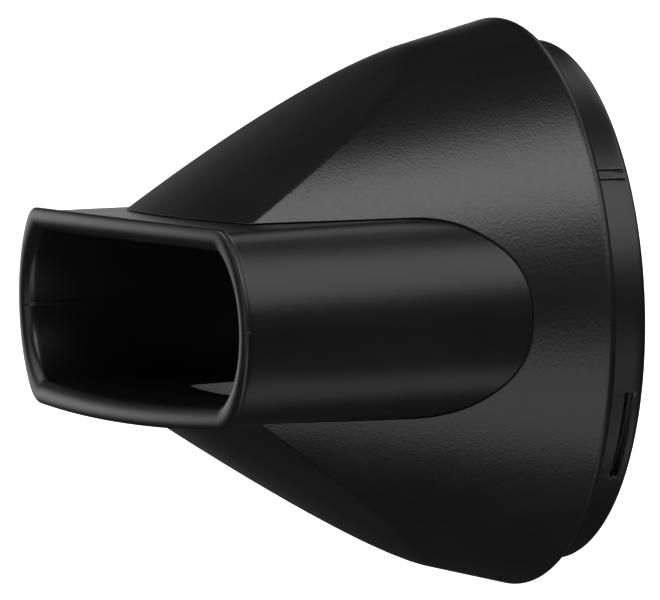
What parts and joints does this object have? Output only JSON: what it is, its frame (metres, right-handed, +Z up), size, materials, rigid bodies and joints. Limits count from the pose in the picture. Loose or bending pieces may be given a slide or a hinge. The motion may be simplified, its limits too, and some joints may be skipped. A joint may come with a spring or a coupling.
{
  "type": "hair dryer styling nozzle",
  "caption": "Concentrator nozzle for a hair dryer: a grained bell around a flat slot duct, turning on a collar that clips onto the barrel.",
  "frame": {"origin": "centre of the collar's rear face, on the axis of the barrel that it clips onto", "axes": "+Y points back along the axis into the dryer, so the air leaves along -Y; +X is along the slot's width and +Z is up, across the slot's height"},
  "size_m": [0.0664, 0.048, 0.059],
  "materials": {
    "grained_plastic": "fine spark-eroded grain, satin black",
    "satin_plastic": "smooth satin black",
    "spring_wire": "drawn spring wire"
  },
  "bodies": {
    "collar": {"collar_ring": "satin_plastic", "grip_spring": "spring_wire"},
    "nozzle": {"air_duct": "satin_plastic", "bell_shell": "grained_plastic", "retaining_ring": "satin_plastic"}
  },
  "joints": [
    {"name": "nozzle_swivel", "type": "hinge", "parent": "collar", "child": "nozzle", "pos_m": [0, -0.008, 0], "axis": [0, -1, 0], "continuous": true}
  ]
}
